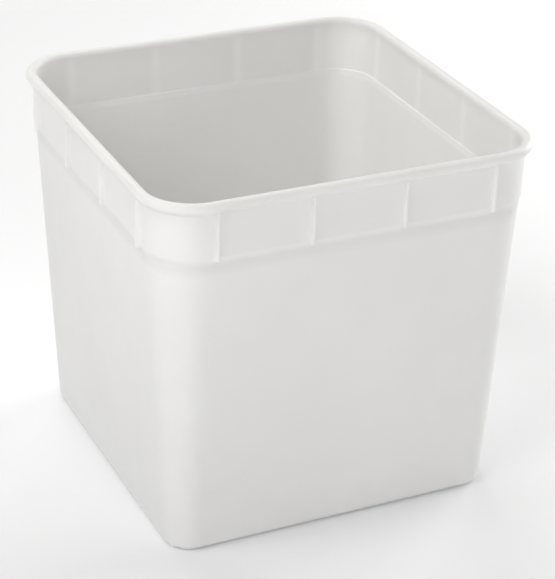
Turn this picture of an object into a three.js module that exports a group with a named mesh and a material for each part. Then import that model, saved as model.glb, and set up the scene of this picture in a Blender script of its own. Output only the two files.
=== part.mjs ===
// Square tapered mixing tub, moulded in one shot in off-white plastic.
// Millimetres, +Z up. The origin is the middle of the surface that the tub stands on, and the
// front wall faces -Y. The tub is one moulding: each mesh is one region of it, and neighbouring
// regions meet on a shared face.
import * as THREE from "three";

// Driving dimensions
const RIM_WIDTH = 240; // across the outside of the rim bead
const HEIGHT = 228;
const CORNER_CENTRE = 88; // every corner is turned about an upright axis this far out in X and Y
const CORNER_STEPS = 8;

const WALL = 2.2;
const FLOOR_THICK = 2.2;
const FLOOR_RAISE = 1.2; // the floor's underside, above the standing ring
const STANDING_BAND = 4.5; // width of the flat ring that the tub stands on

const BODY_BOTTOM_HALF = 104.6; // half width outside, just above the heel radius
const BODY_TOP_HALF = 114.2; // half width outside, just under the shoulder step
const HEEL_RADIUS = 5.2;

const COLLAR_BOTTOM_HALF = 115.5;
const COLLAR_TOP_HALF = 115.6;
const COLLAR_FOOT = 33.8; // this and the next four are depths below the top of the rim
const SHOULDER_FOOT = 40;
const LEDGE_TOP = 34.2; // the small shelf inside, where the collar is wider than the body
const LEDGE_FOOT = 36;
const RIB_FOOT = 35.9;

const BEAD_FOOT = 7.3; // depth below the top of the rim, where the underside meets the collar
const BEAD_RADIUS = 3.2;
const BEAD_TURN_UNDER = 55; // degrees below level where the round gives way to a sloping underside
const ARC_STEPS = 6;

const RIB_PITCH = 56.2;
const RIBS_PER_SIDE = 4;
const RIB_WIDTH = 2;
const RIB_PROUD = 3;
const RIB_FOOT_BEVEL = 0.6;

const plastic = {
  color: 0xe9e9e6,
  roughness: 0.45,
  metalness: 0,
};

// Distances out from a corner's own axis, which are also the corner radii
const rimOut = RIM_WIDTH / 2 - CORNER_CENTRE;
const collarTopOut = COLLAR_TOP_HALF - CORNER_CENTRE;
const collarBottomOut = COLLAR_BOTTOM_HALF - CORNER_CENTRE;
const bodyTopOut = BODY_TOP_HALF - CORNER_CENTRE;
const bodyBottomOut = BODY_BOTTOM_HALF - CORNER_CENTRE;

// Heights
const beadFoot = HEIGHT - BEAD_FOOT;
const collarFoot = HEIGHT - COLLAR_FOOT;
const shoulderFoot = HEIGHT - SHOULDER_FOOT;
const ledgeTop = HEIGHT - LEDGE_TOP;
const ledgeFoot = HEIGHT - LEDGE_FOOT;
const ribFoot = HEIGHT - RIB_FOOT;
const floorTop = FLOOR_RAISE + FLOOR_THICK;

// Distance out at height z on the straight line between two [out, z] points
function along(a, b, z) {
  const t = (z - a[1]) / (b[1] - a[1]);
  return a[0] + (b[0] - a[0]) * t;
}

function bodyOut(z) {
  return along([bodyBottomOut, HEEL_RADIUS], [bodyTopOut, shoulderFoot], z);
}

function collarOut(z) {
  return along([collarBottomOut, collarFoot], [collarTopOut, beadFoot], z);
}

// Points of an arc in the [out, z] plane, angles in degrees
function arc(centre, radius, from, to, steps = ARC_STEPS) {
  const points = [];
  for (let i = 0; i <= steps; i++) {
    const a = THREE.MathUtils.degToRad(from + ((to - from) * i) / steps);
    points.push([
      centre[0] + radius * Math.cos(a),
      centre[1] + radius * Math.sin(a),
    ]);
  }
  return points;
}

// Outlines of the wall's regions, anticlockwise in the [out, z] plane
const innerHeel = HEEL_RADIUS - WALL;
const heelTop = floorTop + innerHeel;
const floorEdge = bodyOut(heelTop) - WALL - innerHeel;
const bandInside = bodyBottomOut - HEEL_RADIUS - STANDING_BAND;

function heelOutline() {
  const outerCentre = [bodyBottomOut - HEEL_RADIUS, HEEL_RADIUS];
  const innerCentre = [floorEdge, heelTop];
  return [
    [bandInside, 0],
    ...arc(outerCentre, HEEL_RADIUS, -90, 0),
    [bodyOut(heelTop), heelTop],
    ...arc(innerCentre, innerHeel, 0, -90),
    [bandInside - FLOOR_RAISE, floorTop],
    [bandInside - FLOOR_RAISE, FLOOR_RAISE],
  ];
}

function bodyOutline() {
  return [
    [bodyOut(heelTop), heelTop],
    [bodyTopOut, shoulderFoot],
    [bodyTopOut - WALL, shoulderFoot],
    [bodyOut(heelTop) - WALL, heelTop],
  ];
}

function shoulderOutline() {
  const collarInside = collarOut(collarFoot) - WALL;
  const ledgeInside = bodyOut(ledgeFoot) - WALL;
  return [
    [bodyTopOut, shoulderFoot],
    [collarBottomOut, collarFoot],
    [collarInside, collarFoot],
    [collarInside, ledgeTop],
    [ledgeInside, ledgeFoot],
    [bodyTopOut - WALL, shoulderFoot],
  ];
}

function collarOutline() {
  return [
    [collarBottomOut, collarFoot],
    [collarTopOut, beadFoot],
    [collarTopOut - WALL, beadFoot],
    [collarBottomOut - WALL, collarFoot],
  ];
}

const beadCentre = [rimOut - BEAD_RADIUS, HEIGHT - BEAD_RADIUS];
const beadUnder = arc(beadCentre, BEAD_RADIUS, -BEAD_TURN_UNDER, 0, ARC_STEPS / 2);

function beadOutline() {
  const inside = collarTopOut - WALL;
  return [
    [inside, beadFoot],
    [collarTopOut, beadFoot],
    ...beadUnder.slice(0, -1),
    ...arc(beadCentre, BEAD_RADIUS, 0, 90),
    ...arc([inside + BEAD_RADIUS, beadCentre[1]], BEAD_RADIUS, 90, 180),
  ];
}

// Stations around the tub, anticlockwise seen from above: the start and end of each corner's arc
// and the steps between. Corner 0 is at +X +Y.
function cornerStations(corner) {
  const quarter = corner * 90;
  const middle = THREE.MathUtils.degToRad(quarter + 45);
  const x = CORNER_CENTRE * Math.sign(Math.cos(middle));
  const y = CORNER_CENTRE * Math.sign(Math.sin(middle));
  return arc([0, 0], 1, quarter, quarter + 90, CORNER_STEPS).map(
    ([dx, dy]) => ({ x, y, dx, dy }),
  );
}

function wallStations(side) {
  return [cornerStations(side).at(-1), cornerStations((side + 1) % 4)[0]];
}

// Sweeps a closed outline through the stations. A ring closes on itself, and a run gets two caps.
function sweep(outline, stations, closed) {
  const n = outline.length;
  const positions = stations.flatMap((s) =>
    outline.flatMap(([out, z]) => [s.x + s.dx * out, s.y + s.dy * out, z]),
  );
  const index = [];
  const spans = closed ? stations.length : stations.length - 1;
  for (let i = 0; i < spans; i++) {
    const here = i * n;
    const next = ((i + 1) % stations.length) * n;
    for (let j = 0; j < n; j++) {
      const k = (j + 1) % n;
      index.push(here + j, next + j, next + k);
      index.push(here + j, next + k, here + k);
    }
  }
  if (!closed) {
    const points = outline.map(([out, z]) => new THREE.Vector2(out, z));
    const last = spans * n;
    for (const [a, b, c] of THREE.ShapeUtils.triangulateShape(points, [])) {
      index.push(a, b, c);
      index.push(last + a, last + c, last + b);
    }
  }
  const geometry = new THREE.BufferGeometry();
  geometry.setAttribute(
    "position",
    new THREE.Float32BufferAttribute(positions, 3),
  );
  geometry.setIndex(index);
  return geometry;
}

// The floor plate, whose edge is the heel's inner edge
function floorPlate() {
  const out = bandInside - FLOOR_RAISE;
  const edge = [0, 1, 2, 3]
    .flatMap(cornerStations)
    .map((s) => new THREE.Vector2(s.x + s.dx * out, s.y + s.dy * out));
  const geometry = new THREE.ExtrudeGeometry(new THREE.Shape(edge), {
    depth: FLOOR_THICK,
    bevelEnabled: false,
  });
  return geometry.translate(0, 0, FLOOR_RAISE);
}

// An upright rib in outline: its back lies on the collar and the shoulder's slope, and its top
// under the bead
function ribOutline() {
  const face = collarTopOut + RIB_PROUD;
  const back = along([bodyTopOut, shoulderFoot], [collarBottomOut, collarFoot], ribFoot);
  const [underOut, underZ] = beadUnder[0];
  const underSlope = (underZ - beadFoot) / (underOut - collarTopOut);
  return [
    [back, ribFoot],
    [face - RIB_FOOT_BEVEL, ribFoot],
    [face, ribFoot + RIB_FOOT_BEVEL],
    [face, beadFoot + RIB_PROUD * underSlope],
    [collarTopOut, beadFoot],
    [collarBottomOut, collarFoot],
  ];
}

function rib(side, place) {
  const outward = THREE.MathUtils.degToRad((side + 1) * 90);
  const dx = Math.round(Math.cos(outward));
  const dy = Math.round(Math.sin(outward));
  const stations = [-RIB_WIDTH / 2, RIB_WIDTH / 2].map((half) => ({
    x: dx * CORNER_CENTRE - dy * (place + half),
    y: dy * CORNER_CENTRE + dx * (place + half),
    dx,
    dy,
  }));
  return sweep(ribOutline(), stations, false);
}

const SIDES = ["back", "left", "front", "right"];
const CORNERS = ["back_right", "back_left", "front_left", "front_right"];
const tub = new THREE.Group();

function add(name, geometry) {
  const mesh = new THREE.Mesh(geometry, new THREE.MeshStandardMaterial(plastic));
  mesh.name = name;
  tub.add(mesh);
}

const around = [0, 1, 2, 3].flatMap(cornerStations);
add("base_floor", floorPlate());
add("base_heel", sweep(heelOutline(), around, true));
SIDES.forEach((side, i) => {
  add(`wall_${side}`, sweep(bodyOutline(), wallStations(i), false));
});
CORNERS.forEach((corner, i) => {
  add(`corner_${corner}`, sweep(bodyOutline(), cornerStations(i), false));
});
add("shoulder_step", sweep(shoulderOutline(), around, true));
add("collar_band", sweep(collarOutline(), around, true));
add("rim_bead", sweep(beadOutline(), around, true));
SIDES.forEach((side, i) => {
  for (let j = 0; j < RIBS_PER_SIDE; j++) {
    const place = (j - (RIBS_PER_SIDE - 1) / 2) * RIB_PITCH;
    add(`rib_${side}_${j + 1}`, rib(i, place));
  }
});

export default tub;
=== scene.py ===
"""Looks of the mortar mixing tub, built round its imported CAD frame, for Blender 4.5. Metres.

The tub is one injection moulding, so one continuous mesh stands for all of its CAD regions. Its
wall is an outline in the plane of [distance out, height], swept round a square with rounded
corners. The square is a row of stations, each with a foot on the plan and a direction out.
"""
import math

import bpy
import numpy as np
from mathutils import Matrix, Vector


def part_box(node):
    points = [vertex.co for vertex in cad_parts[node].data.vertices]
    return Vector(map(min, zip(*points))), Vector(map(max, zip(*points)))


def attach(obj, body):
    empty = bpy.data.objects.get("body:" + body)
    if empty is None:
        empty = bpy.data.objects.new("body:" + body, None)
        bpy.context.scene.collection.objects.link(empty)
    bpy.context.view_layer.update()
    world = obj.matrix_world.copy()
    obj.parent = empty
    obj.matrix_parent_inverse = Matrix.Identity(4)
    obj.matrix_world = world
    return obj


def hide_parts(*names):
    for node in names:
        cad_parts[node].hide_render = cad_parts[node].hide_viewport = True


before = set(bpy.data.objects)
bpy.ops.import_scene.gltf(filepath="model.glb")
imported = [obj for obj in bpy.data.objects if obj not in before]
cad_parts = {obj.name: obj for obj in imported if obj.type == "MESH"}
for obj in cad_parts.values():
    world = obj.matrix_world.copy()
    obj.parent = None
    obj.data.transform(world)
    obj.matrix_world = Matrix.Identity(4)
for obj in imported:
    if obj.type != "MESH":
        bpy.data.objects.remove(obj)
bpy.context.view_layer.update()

MM = 0.001

# ------------------------------------------------------------------ sizes taken from the frame
def levels(node):
    """The heights at which a CAD node has corners, lowest first."""
    return sorted({round(v.co.z, 6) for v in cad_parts[node].data.vertices})


corner_low, corner_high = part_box("corner_back_right")
floor_low, floor_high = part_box("base_floor")
heel_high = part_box("base_heel")[1]
step_low, step_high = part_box("shoulder_step")
collar_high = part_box("collar_band")[1]
rim_low, rim_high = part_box("rim_bead")
rib_low, rib_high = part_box("rib_right_1")
ledge_foot, ledge_top = levels("shoulder_step")[1:3]

AXIS = corner_low.x  # the corners turn about upright axes this far out in X and Y
WALL = floor_high.z - floor_low.z  # the tub is moulded at one thickness
INNER_HEEL = heel_high.z - floor_high.z
HEEL = INNER_HEEL + WALL
RIM_TOP = rim_high.z

# Distances out from the corner axes
BODY_TOP = corner_high.x - AXIS
BODY_FOOT = heel_high.x - AXIS
COLLAR_TOP = collar_high.x - AXIS
COLLAR_FOOT = step_high.x - AXIS
RIM = rim_high.x - AXIS
FLOOR_EDGE = floor_high.x - AXIS
BODY_DRAFT = (BODY_TOP - BODY_FOOT) / (step_low.z - heel_high.z)

RIB_PROUD = rib_high.x - collar_high.x
RIB_FOOT = rib_low.z
RIB_HALF = (rib_high.y - rib_low.y) / 2
RIB_PLACES = sorted(sum(c.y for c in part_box(f"rib_right_{i}")) / 2 for i in (1, 2, 3, 4))

# ------------------------------------------------------------------ sizes that only the looks have
BEAD_ROUND = 3 * MM
BEAD_UNDER_ROUND = 2.7 * MM
BEAD_UNDER_SLOPE = math.radians(31)
BEAD_FILLET = 1.5 * MM
STEP_IN, STEP_DOWN = 1.15 * MM, 4 * MM  # the steeper upper part of the step outside
STEP_ROUND = 2 * MM
STEP_FOOT_ROUND = 3.5 * MM
LEDGE_IN = 0.45 * MM  # the sharper edge of the ledge inside
LEDGE_EASE = 2 * MM  # a gentle slope leads from that edge to this far below the ledge's foot
LEDGE_ROUND = 0.8 * MM
LEDGE_FOOT_ROUND = 3 * MM
RING_ROUND = 0.5 * MM  # the inner edge of the ring that the tub stands on
UNDER_ROUND = 0.8 * MM  # where that ring meets the floor's underside
FLOOR_LAP = 3 * MM  # how far the outline runs in along both faces of the floor
WALL_BOW = 0.5 * MM  # the side walls draw in a little as the moulding cools
# (radius, depth) in mm of the dimple under the floor where the plastic went in, with a nub in it
GATE_DIMPLE = [(9, 0), (8.4, 0.1), (7.6, 0.7), (7, 0.8), (3, 0.8), (2.4, 0.7), (1.8, 0.25), (1.2, 0.2)]

RIB_DRAFT = 0.25 * MM
RIB_EDGE_ROUND = 0.5 * MM
RIB_ROOT_ROUND = 0.9 * MM
RIB_END_ROUND = 1.1 * MM
RIB_FILLET = 0.3 * MM
SINK_DEPTH = 0.08 * MM  # shrink marks inside the collar, opposite the ribs
ECHO_HALF = 3.2 * MM  # half width of those marks
ECHO_FADE_FOOT, ECHO_FADE_TOP = 3 * MM, 7 * MM  # they fade over these heights, at the ledge and the rim
ECHO_PAINTED_LIGHT = 0.8  # painted light: the base colour is lighter over the ribs and in bands inside opposite them, this much inside, 1 on a rib

# Painted shade: round the outside just under the step the base colour is a little darker, where the
# shadow under the collar falls
SHADE_BAND_FOOT, SHADE_BAND_TOP = step_low.z - 6 * MM, step_high.z
SHADE_BAND_FULL = (step_low.z - 0.5 * MM, step_low.z + 2.5 * MM)

# ------------------------------------------------------------------ how finely the mesh is divided
CORNER_STEPS = 16
ARC_STEP = math.radians(11)
RIB_ARC_STEP = math.radians(30)
HOLD = 0.7 * MM  # a row this close to each rounded edge keeps the flat beside it flat
FINE, MEDIUM, COARSE = 1 * MM, 4 * MM, 14 * MM
RIB_MARGIN = 4.4 * MM  # the finer columns reach this far past a rib's root
CORNER_CLEAR = 0.4 * MM  # and stop this far short of a corner
FLOOR_RADII = (88, 74, 60, 46, 34, 24, 16)  # mm, of the rows across the floor
ROUND_WITHIN, SQUARE_BEYOND = 0.2, 0.7  # shares of the floor where those rows are round and square


def body_out(z):
    """Distance out of the body's outside at height z."""
    return BODY_FOOT + (z - heel_high.z) * BODY_DRAFT


# ------------------------------------------------------------------ the outline
def rounded(corners, arc_step=ARC_STEP):
    """Points along a polyline with rounded corners. Each corner is (x, y, radius, gap), where gap is
    the longest spacing of the points on the straight that leads to it."""
    points = [np.array(corners[0][:2])]
    for i in range(1, len(corners)):
        here = np.array(corners[i][:2])
        radius, gap = corners[i][2:]
        arc = [here]
        if radius:
            back = np.array(corners[i - 1][:2]) - here
            ahead = np.array(corners[i + 1][:2]) - here
            back /= np.linalg.norm(back)
            ahead /= np.linalg.norm(ahead)
            turn = math.pi - math.acos(float(np.clip(back @ ahead, -1, 1)))
            reach = radius * math.tan(turn / 2)
            middle = back + ahead
            centre = here + middle / np.linalg.norm(middle) * math.hypot(radius, reach)
            first = here + back * reach - centre
            last = here + ahead * reach - centre
            steps = max(2, math.ceil(turn / arc_step))
            weights = [
                (math.sin(turn * (1 - k / steps)), math.sin(turn * k / steps))
                for k in range(steps + 1)
            ]
            arc = [centre + (first * a + last * b) / math.sin(turn) for a, b in weights]
        start = points[-1]
        length = np.linalg.norm(arc[0] - start)
        if length > 3 * HOLD:
            count = max(1, math.ceil((length - 2 * HOLD) / gap))
            inner = np.linspace(HOLD, length - HOLD, count + 1)
        else:
            inner = np.linspace(0, length, math.ceil(length / gap) + 1)[1:-1]
        points += [start + (arc[0] - start) * (d / length) for d in inner]
        points += arc if length > 0.05 * MM else arc[1:]
    return points


def outside_outline():
    """From the floor's underside, out round the heel, up the wall and over to the bead's crown."""
    under_rise = (RIM - COLLAR_TOP) * math.tan(BEAD_UNDER_SLOPE)
    rib_end = [
        (COLLAR_FOOT - (step_high.z - z) / STEP_DOWN * STEP_IN, z, 0)
        for z in (RIB_FOOT, RIB_FOOT + RIB_END_ROUND)
    ]
    return rounded([
        (FLOOR_EDGE - FLOOR_LAP, floor_low.z, 0, FINE),
        (FLOOR_EDGE, floor_low.z, UNDER_ROUND, 3 * FINE),
        (FLOOR_EDGE + floor_low.z, 0, RING_ROUND, FINE),
        (body_out(0), 0, HEEL, 3 * FINE),
        (BODY_TOP, step_low.z, STEP_FOOT_ROUND, COARSE),
        (COLLAR_FOOT - STEP_IN, step_high.z - STEP_DOWN, STEP_ROUND, FINE),
        (*rib_end[0], FINE),
        (*rib_end[1], 0.3 * FINE),
        (COLLAR_FOOT, step_high.z, STEP_ROUND, FINE),
        (COLLAR_TOP, rim_low.z, BEAD_FILLET, MEDIUM),
        (RIM, rim_low.z + under_rise, BEAD_UNDER_ROUND, 0.6 * FINE),
        (RIM, RIM_TOP, BEAD_ROUND, FINE),
        ((RIM + COLLAR_TOP - WALL) / 2, RIM_TOP, 0, FINE),
    ])


def inside_outline():
    """From the bead's crown down the inside to the floor."""
    slope_foot = ledge_foot - LEDGE_EASE
    return rounded([
        ((RIM + COLLAR_TOP - WALL) / 2, RIM_TOP, 0, FINE),
        (COLLAR_TOP - WALL, RIM_TOP, BEAD_ROUND, FINE),
        (COLLAR_FOOT - WALL, ledge_top, LEDGE_ROUND, MEDIUM),
        (COLLAR_FOOT - WALL - LEDGE_IN, ledge_top - LEDGE_IN, LEDGE_ROUND, FINE),
        (body_out(slope_foot) - WALL, slope_foot, LEDGE_FOOT_ROUND, FINE),
        (body_out(floor_high.z) - WALL, floor_high.z, INNER_HEEL, COARSE),
        (FLOOR_EDGE - FLOOR_LAP, floor_high.z, 0, 3 * FINE),
    ])


# ------------------------------------------------------------------ the stations
def rib_section():
    """Half of a rib's cross-section, as points (distance from its middle, height off the collar)."""
    return rounded([
        (0, RIB_PROUD, 0, FINE),
        (RIB_HALF - RIB_DRAFT, RIB_PROUD, RIB_EDGE_ROUND, FINE),
        (RIB_HALF, 0, RIB_ROOT_ROUND, FINE),
        (RIB_HALF + RIB_MARGIN, 0, 0, 1.6 * FINE),
    ], RIB_ARC_STEP)


def side_stations():
    """Places along one side, as rows (place, rib height, distance to the nearest rib)."""
    half = rib_section()
    rows = []
    for middle in RIB_PLACES:
        rows += [(middle - d, h) for d, h in half[:0:-1]]
        rows += [(middle + d, h) for d, h in half]
    rows = [(p, h) for p, h in rows if abs(p) < AXIS - CORNER_CLEAR]
    rows = [(-AXIS, 0.0), *rows, (AXIS, 0.0)]
    gaps = []
    for (a, _), (b, _) in zip(rows[:-1], rows[1:]):
        gaps += [(p, 0.0) for p in np.linspace(a, b, math.ceil((b - a) / COARSE) + 1)[1:-1]]
    return [(p, h, min(abs(p - m) for m in RIB_PLACES)) for p, h in sorted(rows + gaps)]


def stations():
    """All places round the tub, anticlockwise: feet and directions (n x 2), rib heights, distances to
    the nearest rib, and how far along its side each one is, from -1 to 1."""
    rows = [(AXIS, p, 1.0, 0.0, h, d, p / AXIS) for p, h, d in side_stations()]
    for k in range(1, CORNER_STEPS):
        a = math.pi / 2 * k / CORNER_STEPS
        past = COLLAR_TOP * math.pi / 2 * min(k, CORNER_STEPS - k) / CORNER_STEPS
        far = AXIS - RIB_PLACES[-1] + past
        rows.append((AXIS, AXIS, math.cos(a), math.sin(a), 0.0, far, 1.0))
    quarter = np.array(rows)
    whole = []
    for turns in range(4):
        spun = quarter.copy()
        for columns in ([0, 1], [2, 3]):
            for _ in range(turns):
                spun[:, columns] = np.stack([-spun[:, columns[1]], spun[:, columns[0]]], 1)
        whole.append(spun)
    whole = np.concatenate(whole)
    return whole[:, 0:2], whole[:, 2:4], whole[:, 4], whole[:, 5], whole[:, 6]


# ------------------------------------------------------------------ the moulding
def rib_reach(z, height):
    """How far a rib stands off the line of the collar at height z. Its foot is rounded off."""
    t = np.clip((z - RIB_FOOT) / RIB_END_ROUND, 0, 1)
    return height * np.sqrt(1 - (1 - t) ** 2)


def rib_lift(points, height):
    """How far the ribs, with their fillets, lift the outside rows off the outline at every station."""
    out, z = points[:, 0][None], points[:, 1][None]
    line = COLLAR_TOP + (z - rim_low.z) * (COLLAR_TOP - COLLAR_FOOT) / (rim_low.z - step_high.z)
    crest = line + rib_reach(z, height[:, None])
    over = np.maximum(crest - out, 0)
    over[:, (points[:, 1] < RIB_FOOT) | (points[:, 1] > rim_high.z - BEAD_ROUND)] = 0
    over[height <= 0] = 0
    return over * over / (over + RIB_FILLET) * (1 + RIB_FILLET / RIB_PROUD)


def rib_echo(z, distance):
    """How strongly each rib tells on the inside of the collar, from 0 to 1, at every station."""
    rise = np.clip((z - ledge_foot) / ECHO_FADE_FOOT, 0, 1)
    fall = np.clip((RIM_TOP - z) / ECHO_FADE_TOP, 0, 1)
    return np.exp(-((distance[:, None] / ECHO_HALF) ** 2)) * (rise * fall)[None]


def wall_bow(z, along):
    """How far the side walls draw in, none at the corners, the heel or the step."""
    up = np.clip((z - heel_high.z) / (step_low.z - heel_high.z), 0, 1)[None]
    return WALL_BOW * np.sin(math.pi * up) ** 2 * (1 - along[:, None] ** 2)


def place(feet, ways, out, z):
    """Points (stations x rows x 3) at those distances out and heights."""
    flat = feet[:, None] + ways[:, None] * out[..., None]
    return np.concatenate([flat, np.broadcast_to(z[None, :, None], (*flat.shape[:2], 1))], 2)


def disc_rows(edge, heights):
    """Rows that carry a floor from its edge row (stations x 3) in to its middle. heights holds
    (radius, height) from the edge inwards, and the rows turn from square to round on the way."""
    flat = edge[:, :2]
    reach = np.linalg.norm(flat, axis=1)
    spread = reach / reach.min()
    rows = []
    for radius, z in heights:
        share = radius / reach.min()
        squareness = np.clip((share - ROUND_WITHIN) / (SQUARE_BEYOND - ROUND_WITHIN), 0, 1)
        size = radius * (1 + (spread - 1) * squareness * squareness * (3 - 2 * squareness))
        xy = flat / reach[:, None] * size[:, None]
        rows.append(np.column_stack([xy, np.full(len(xy), z)]))
    return np.stack(rows, 1)


def floor_heights(z, dimple=()):
    """(radius, height) rows of a floor from the edge inwards, ending in a dimple of (radius, depth)."""
    plain = [(r * MM, z) for r in FLOOR_RADII]
    return plain + [(r * MM, z + depth * MM) for r, depth in dimple]


def ring_faces(count, rows):
    """Quads between neighbouring stations and rows of a stations x rows grid that closes on itself."""
    s = np.arange(count)[:, None]
    r = np.arange(rows - 1)[None]
    t = (s + 1) % count
    quads = np.stack([s * rows + r, t * rows + r, t * rows + r + 1, s * rows + r + 1], -1)
    return quads.reshape(-1, 4).tolist()


def mesh_object(name, points, faces, **values):
    """A smooth mesh. Each of values is an attribute with one number for every point."""
    mesh = bpy.data.meshes.new(name)
    mesh.from_pydata([tuple(p) for p in points], [], faces)
    mesh.validate()
    mesh.polygons.foreach_set("use_smooth", [True] * len(mesh.polygons))
    for key, numbers in values.items():
        mesh.attributes.new(key, "FLOAT", "POINT").data.foreach_set("value", numbers)
    mesh.update()
    obj = bpy.data.objects.new(name, mesh)
    bpy.context.scene.collection.objects.link(obj)
    return obj


def tub_faces(count, rows):
    """Faces over the whole grid, and fans from its first and last rows to the two points after it,
    which are the middles of the floor's underside and top."""
    faces = ring_faces(count, rows)
    under_middle = count * rows
    for s in range(count):
        here, ahead = s * rows, (s + 1) % count * rows
        faces.append((under_middle, ahead, here))
        faces.append((under_middle + 1, here + rows - 1, ahead + rows - 1))
    return faces


def tub_moulding():
    """The whole tub, row by row from the floor's underside, out, up, over the rim and back inside."""
    feet, ways, height, distance, along = stations()
    outside = np.array(outside_outline())
    inside = np.array(inside_outline())[1:]
    lift = rib_lift(outside, height)
    echo = rib_echo(inside[:, 1], distance)
    outer = outside[:, 0][None] + lift - wall_bow(outside[:, 1], along)
    inner = inside[:, 0][None] + SINK_DEPTH * echo - wall_bow(inside[:, 1], along)
    heights = np.concatenate([outside[:, 1], inside[:, 1]])
    wall = place(feet, ways, np.hstack([outer, inner]), heights)
    under = disc_rows(wall[:, 0], floor_heights(floor_low.z, GATE_DIMPLE))[:, ::-1]
    top = disc_rows(wall[:, -1], floor_heights(floor_high.z))
    grid = np.concatenate([under, wall, top], 1)
    count, rows = grid.shape[:2]
    middles = [(0, 0, grid[0, 0, 2]), (0, 0, grid[0, -1, 2])]
    points = np.concatenate([grid.reshape(-1, 3), middles])

    wall_start = under.shape[1]
    rim_row = wall_start + len(outside)
    # painted light: a lighter base colour over the ribs and in bands inside opposite them
    thicker = np.zeros((count, rows))
    thicker[:, wall_start:rim_row] = np.clip(lift / RIB_PROUD, 0, 1)
    thicker[:, rim_row:rim_row + len(inside)] = ECHO_PAINTED_LIGHT * echo
    outer_face = np.zeros((count, rows))
    outer_face[:, :rim_row] = 1
    return mesh_object(
        "tub_moulding",
        points,
        tub_faces(count, rows),
        thicker=np.append(thicker.ravel(), [0.0, 0.0]),
        outer_face=np.append(outer_face.ravel(), [1.0, 0.0]),
    )


# ------------------------------------------------------------------ materials
PLASTIC_CLOUDS = ((0.82, 0.8185, 0.815, 1), (0.854, 0.8525, 0.849, 1))
# painted light, over the ribs and in bands inside opposite them
PLASTIC_PAINTED_LIGHT = (0.895, 0.893, 0.889, 1)
# painted shade, in the band round the outside just under the step
PLASTIC_PAINTED_SHADE = (0.787, 0.785, 0.781, 1)
PAPER_FIBRES = ((0.90, 0.908, 0.925, 1), (0.92, 0.928, 0.945, 1))
STREAK_SQUEEZE = 0.12  # the flow streaks are drawn out along Z by 1 over this
FLOOR_GLOW = 0.05  # of the floor round the tub
FAR_GLOW = 0.6  # of the floor and the backdrop far away
FAR_FLOOR = (0.8, 2.2)  # m from the tub, where the floor's glow starts to rise and where it is full


def set_range(node, start, end, low, high):
    """Makes a Map Range node take start..end to low..high."""
    node.inputs["From Min"].default_value = start
    node.inputs["From Max"].default_value = end
    node.inputs["To Min"].default_value = low
    node.inputs["To Max"].default_value = high


class Nodes:
    """Short ways to build one material's node tree."""

    def __init__(self, name):
        self.material = bpy.data.materials.new(name)
        self.material.use_nodes = True
        self.tree = self.material.node_tree
        self.shader = self.tree.nodes["Principled BSDF"]

    def add(self, kind, settings=None, **inputs):
        node = self.tree.nodes.new(kind)
        for key, value in (settings or {}).items():
            setattr(node, key, value)
        for key, value in inputs.items():
            self.feed(node.inputs[key.replace("_", " ")], value)
        return node

    def feed(self, socket, value):
        if isinstance(value, bpy.types.NodeSocket):
            self.tree.links.new(value, socket)
        else:
            socket.default_value = value

    def noise(self, where, scale, detail):
        return self.add("ShaderNodeTexNoise", Vector=where, Scale=scale, Detail=detail).outputs["Fac"]

    def spread(self, value, low, high, start=0.3, end=0.7):
        """Takes value from start..end to low..high. A noise lies mostly within 0.3 to 0.7."""
        node = self.add("ShaderNodeMapRange", Value=value)
        set_range(node, start, end, low, high)
        return node.outputs["Result"]

    def math(self, operation, a, b):
        node = self.add("ShaderNodeMath", {"operation": operation})
        self.feed(node.inputs[0], a)
        self.feed(node.inputs[1], b)
        return node.outputs[0]

    def blend(self, factor, a, b):
        node = self.add("ShaderNodeMix", {"data_type": "RGBA"})
        self.feed(node.inputs["Factor"], factor)
        self.feed(node.inputs[6], a)
        self.feed(node.inputs[7], b)
        return node.outputs[2]

    def bump(self, height, distance, under=None):
        node = self.add("ShaderNodeBump", Height=height, Distance=distance)
        if under is not None:
            self.feed(node.inputs["Normal"], under)
        return node.outputs["Normal"]


def tub_plastic():
    """Off-white polyethylene: satin, a little translucent, faintly clouded by the way it flowed."""
    n = Nodes("tub_plastic")
    where = n.add("ShaderNodeTexCoord").outputs["Object"]
    drawn = n.add("ShaderNodeMapping", Vector=where)
    drawn.inputs["Scale"].default_value = (1, 1, STREAK_SQUEEZE)
    cloud = n.noise(where, 14, 3)
    streaks = n.noise(drawn.outputs["Vector"], 160, 2)
    grain = n.noise(where, 1400, 2)
    ripple = n.noise(where, 45, 1)
    thicker = n.add("ShaderNodeAttribute", {"attribute_name": "thicker"}).outputs["Fac"]
    colour = n.blend(n.spread(cloud, 0, 1), *PLASTIC_CLOUDS)
    # painted light: lighter over the ribs and in bands inside opposite them
    colour = n.blend(thicker, colour, PLASTIC_PAINTED_LIGHT)
    # painted shade: a darker band round the outside just under the step
    height = n.add("ShaderNodeSeparateXYZ", Vector=where).outputs["Z"]
    shade_band_mask = n.add("ShaderNodeAttribute", {"attribute_name": "outer_face"}).outputs["Fac"]
    for edge, full in zip((SHADE_BAND_FOOT, SHADE_BAND_TOP), SHADE_BAND_FULL):
        shade_band_mask = n.math("MULTIPLY", shade_band_mask, n.spread(height, 0, 1, edge, full))
    colour = n.blend(shade_band_mask, colour, PLASTIC_PAINTED_SHADE)
    n.feed(n.shader.inputs["Base Color"], colour)
    rough = n.math("ADD", n.spread(streaks, 0.34, 0.42), n.spread(grain, 0.0, 0.06))
    n.feed(n.shader.inputs["Roughness"], rough)
    normal = n.bump(ripple, 0.12 * MM)
    normal = n.bump(grain, 0.012 * MM, normal)
    n.feed(n.shader.inputs["Normal"], normal)
    n.shader.inputs["IOR"].default_value = 1.5
    n.shader.inputs["Subsurface Weight"].default_value = 0.65
    n.shader.inputs["Subsurface Radius"].default_value = (1.0, 1.0, 0.95)
    n.shader.inputs["Subsurface Scale"].default_value = 5.0 * MM
    return n.material


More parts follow.
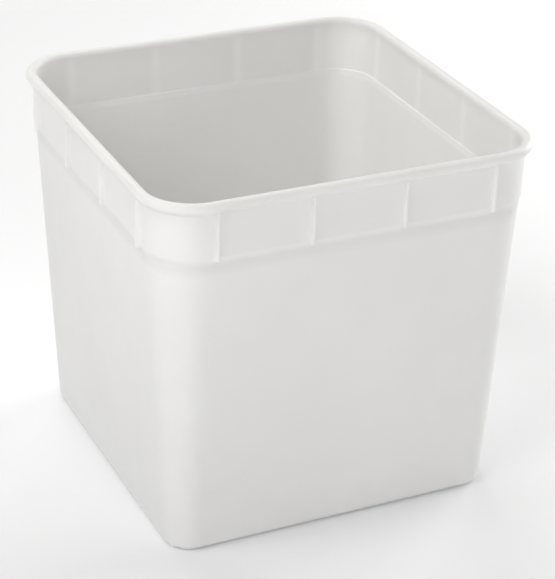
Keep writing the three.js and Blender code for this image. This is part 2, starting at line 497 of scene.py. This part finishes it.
def floor_paper():
    """Matt white studio paper. It glows a little round the tub, and more far from it."""
    n = Nodes("studio_paper")
    where = n.add("ShaderNodeTexCoord").outputs["Object"]
    fibre = n.noise(where, 300, 3)
    n.feed(n.shader.inputs["Base Color"], n.blend(fibre, *PAPER_FIBRES))
    n.shader.inputs["Roughness"].default_value = 0.9
    n.shader.inputs["Specular IOR Level"].default_value = 0.2
    n.shader.inputs["Emission Color"].default_value = (1, 1, 1, 1)
    away = n.add("ShaderNodeVectorMath", {"operation": "LENGTH"}, Vector=where).outputs["Value"]
    n.feed(n.shader.inputs["Emission Strength"], n.spread(away, FLOOR_GLOW, FAR_GLOW, *FAR_FLOOR))
    return n.material


# ------------------------------------------------------------------ studio
BACKDROP_TOP = (6.5, 8.5)  # degrees up, where the backdrop starts to fade and where it ends
LAMP_COLOUR = (1.0, 0.99, 0.969)
LAMP_SIZE = 1.2
LAMP_AWAY = 1.6
FLOOR_HALF, FLOOR_CELLS = 12.0, 24
CAMERA_AZIMUTH = -25.46
CAMERA_ELEVATION = 27.51
CAMERA_ROLL = 1.66
CAMERA_PLACE = (-0.46859, -0.99908, 0.67811)
CAMERA_LENS = 126.06  # mm, on a sensor 36 mm long


def toward(azimuth, elevation):
    """Unit vector from the tub to a place at that azimuth, 0 in front and 90 on the right."""
    a, e = math.radians(azimuth), math.radians(elevation)
    return Vector((math.sin(a) * math.cos(e), -math.cos(a) * math.cos(e), math.sin(e)))


def add_camera():
    data = bpy.data.cameras.new("camera")
    data.lens = CAMERA_LENS
    data.sensor_width = 36
    data.clip_start = 0.05
    camera = bpy.data.objects.new("camera", data)
    bpy.context.scene.collection.objects.link(camera)
    look = (-toward(CAMERA_AZIMUTH, CAMERA_ELEVATION)).to_track_quat("-Z", "Y")
    roll = Matrix.Rotation(math.radians(CAMERA_ROLL), 4, "Z")
    camera.matrix_world = Matrix.Translation(CAMERA_PLACE) @ look.to_matrix().to_4x4() @ roll
    bpy.context.scene.camera = camera


def add_light(name, azimuth, elevation, power):
    """A square soft box aimed at the middle of the tub, of so many watts."""
    data = bpy.data.lights.new(name, "AREA")
    data.shape = "SQUARE"
    data.size = LAMP_SIZE
    data.energy = power
    data.color = LAMP_COLOUR
    light = bpy.data.objects.new(name, data)
    bpy.context.scene.collection.objects.link(light)
    way = toward(azimuth, elevation)
    light.location = Vector((0, 0, RIM_TOP / 2)) + way * LAMP_AWAY
    light.rotation_mode = "QUATERNION"
    light.rotation_quaternion = (-way).to_track_quat("-Z", "Y")


def add_world():
    """A low pale backdrop all round, far away, with black above it."""
    world = bpy.data.worlds.new("studio")
    world.use_nodes = True
    nodes, links = world.node_tree.nodes, world.node_tree.links
    split = nodes.new("ShaderNodeSeparateXYZ")
    links.new(nodes.new("ShaderNodeTexCoord").outputs["Generated"], split.inputs[0])
    fade = nodes.new("ShaderNodeMapRange")
    links.new(split.outputs["Z"], fade.inputs["Value"])
    start, end = (math.sin(math.radians(angle)) for angle in BACKDROP_TOP)
    set_range(fade, start, end, FAR_GLOW, 0.0)
    background = nodes["Background"]
    background.inputs["Color"].default_value = (*LAMP_COLOUR, 1)
    links.new(fade.outputs["Result"], background.inputs["Strength"])
    bpy.context.scene.world = world


def add_floor():
    """A flat sheet of studio paper, big enough to fill every view."""
    across = FLOOR_CELLS + 1
    ticks = np.linspace(-FLOOR_HALF, FLOOR_HALF, across)
    points = [(x, y, 0.0) for y in ticks for x in ticks]
    faces = [
        (i + j * across, i + 1 + j * across, i + 1 + (j + 1) * across, i + (j + 1) * across)
        for j in range(FLOOR_CELLS)
        for i in range(FLOOR_CELLS)
    ]
    floor = mesh_object("studio_floor", points, faces)
    floor.data.materials.append(floor_paper())


bpy.context.scene.view_settings.view_transform = "Standard"
add_camera()
add_world()
add_light("front", -15, 20, 6.9)
add_light("left", -75, 50, 14.5)
add_light("back", 180, 50, 11.4)
add_light("right", 102, 20, 20.0)
add_floor()

tub = tub_moulding()
tub.data.materials.append(tub_plastic())
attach(tub, "root")
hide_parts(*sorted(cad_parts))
